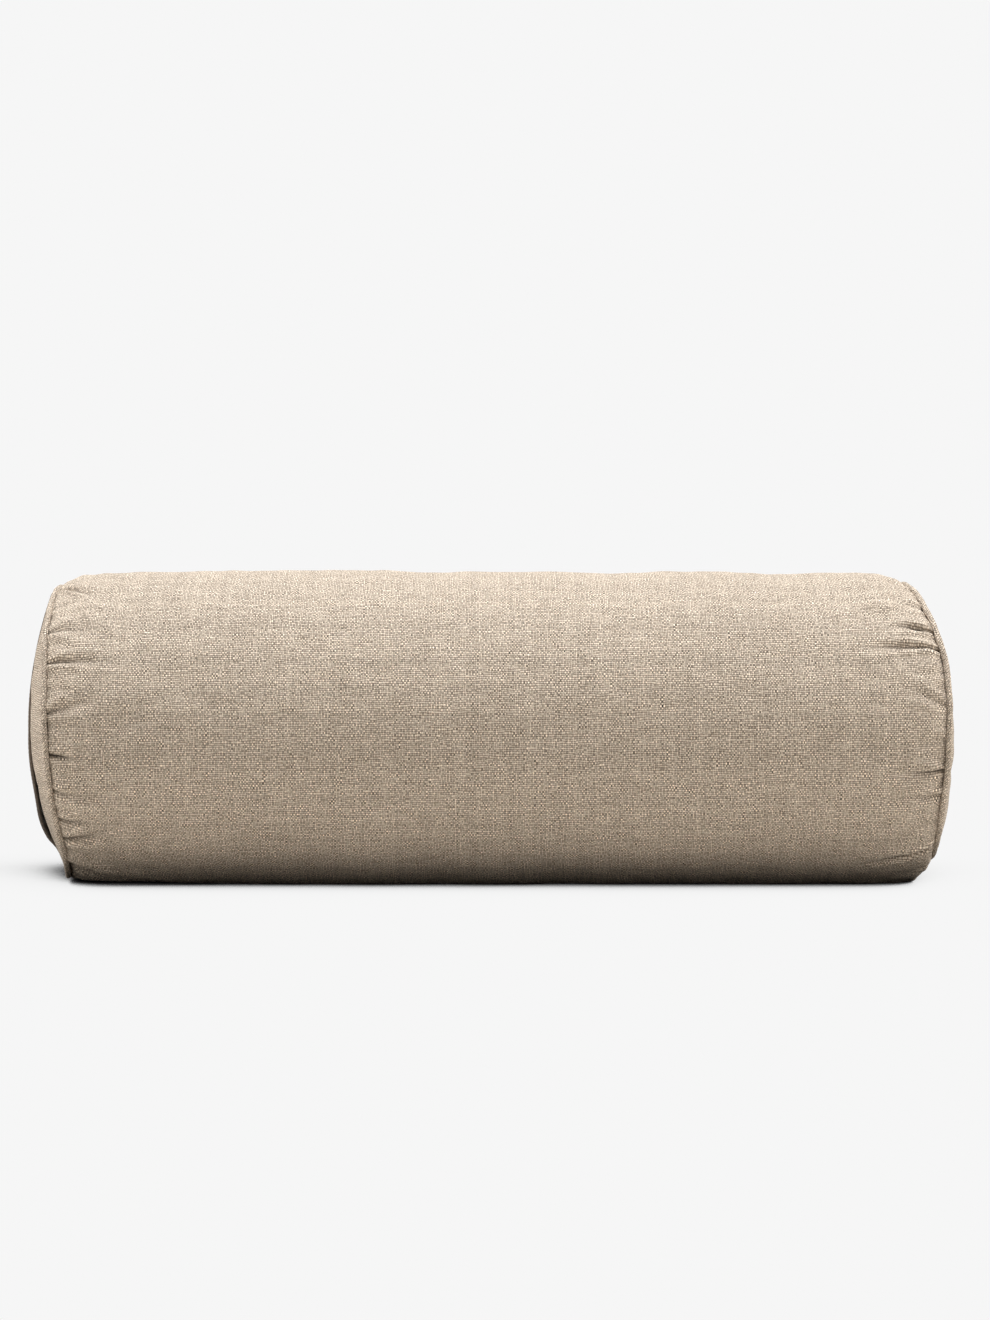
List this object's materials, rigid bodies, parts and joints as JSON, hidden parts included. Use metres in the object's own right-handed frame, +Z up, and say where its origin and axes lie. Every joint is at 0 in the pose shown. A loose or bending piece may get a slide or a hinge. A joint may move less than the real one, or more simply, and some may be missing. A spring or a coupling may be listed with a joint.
{
  "type": "bolster pillow",
  "caption": "Round bolster pillow with a removable linen cover, piped end seams, a back zip and a webbing carry handle on one end, around a loose-filled liner.",
  "frame": {"origin": "middle of the flat underside, on the floor under the middle of the barrel", "axes": "+X along the barrel away from the handle end, +Y to the zip side, +Z up"},
  "size_m": [0.6432, 0.2214, 0.2157],
  "materials": {
    "linen": "natural flax-coloured plain-weave linen, matt, slubby, slightly fuzzy",
    "cord": "matt white cotton cord",
    "zip_tape": "fine woven polyester tape, matt",
    "zip_coil": "satin nylon coil",
    "zip_metal": "satin antique nickel",
    "webbing": "charcoal cotton twill webbing, matt",
    "cotton_lining": "matt unbleached cotton",
    "hulls": "matt loose seed hulls"
  },
  "bodies": {
    "root": {"cover_barrel": "linen", "end_panel_left": "linen", "end_panel_right": "linen", "piping_tape_left": "linen", "piping_tape_right": "linen", "piping_cord_left": "cord", "piping_cord_right": "cord", "zip_tape_upper": "zip_tape", "zip_tape_lower": "zip_tape", "zip_teeth_upper": "zip_coil", "zip_teeth_lower": "zip_coil", "zip_top_stop_upper": "zip_metal", "zip_top_stop_lower": "zip_metal", "zip_bottom_stop": "zip_metal", "handle_end_upper": "webbing", "handle_end_lower": "webbing", "liner_barrel": "cotton_lining", "liner_end_left": "cotton_lining", "liner_end_right": "cotton_lining", "filling": "hulls"},
    "slider": {"zip_slider": "zip_metal"},
    "pull_tab": {"zip_pull_tab": "zip_metal"},
    "strap": {"handle_strap": "webbing"}
  },
  "joints": [
    {"name": "zip_slide", "type": "slide", "parent": "root", "child": "slider", "axis": [1, 0, 0], "range_m": [0, 0.479]},
    {"name": "pull_tab_swing", "type": "hinge", "parent": "slider", "child": "pull_tab", "pos_m": [-0.2395, 0.10751, 0.13381], "axis": [0, -0.2588, 0.9659], "range_deg": [0, 170]},
    {"name": "handle_lift", "type": "slide", "parent": "root", "child": "strap", "axis": [-1, 0, 0], "range_m": [0, 0.016]}
  ]
}
